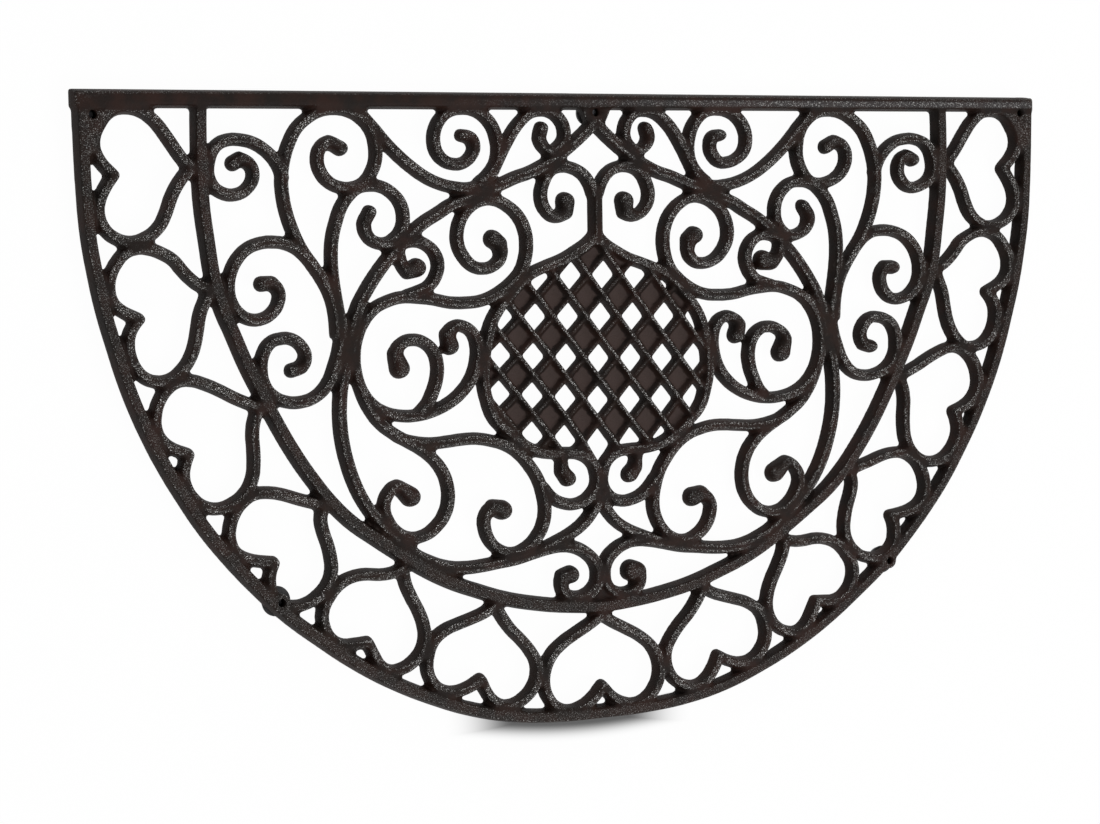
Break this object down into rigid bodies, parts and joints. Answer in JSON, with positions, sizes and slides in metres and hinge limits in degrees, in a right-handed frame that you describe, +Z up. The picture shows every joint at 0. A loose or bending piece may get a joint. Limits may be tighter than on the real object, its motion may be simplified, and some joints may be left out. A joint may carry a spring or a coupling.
{
  "type": "door mat",
  "caption": "Half-round cast iron door mat: an open grille of scrolls around a latticed medallion, with a border of hearts, on rubber feet screwed on from below.",
  "frame": {"origin": "centre of the mat's outline, on the floor that its rubber feet stand on", "axes": "+X along the straight edge, +Y towards the straight edge (the door), +Z up"},
  "size_m": [0.75, 0.44, 0.017],
  "materials": {
    "cast_iron": "sand cast, dark brown, burnished crests",
    "rubber": "matt black moulded rubber",
    "steel": "blackened"
  },
  "bodies": {
    "root": {"grille_casting": "cast_iron", "foot_back_left": "rubber", "foot_back_middle": "rubber", "foot_back_right": "rubber", "foot_front_left": "rubber", "foot_front_right": "rubber", "washer_back_left": "steel", "washer_back_middle": "steel", "washer_back_right": "steel", "washer_front_left": "steel", "washer_front_right": "steel", "screw_back_left": "steel", "screw_back_middle": "steel", "screw_back_right": "steel", "screw_front_left": "steel", "screw_front_right": "steel"}
  },
  "joints": []
}
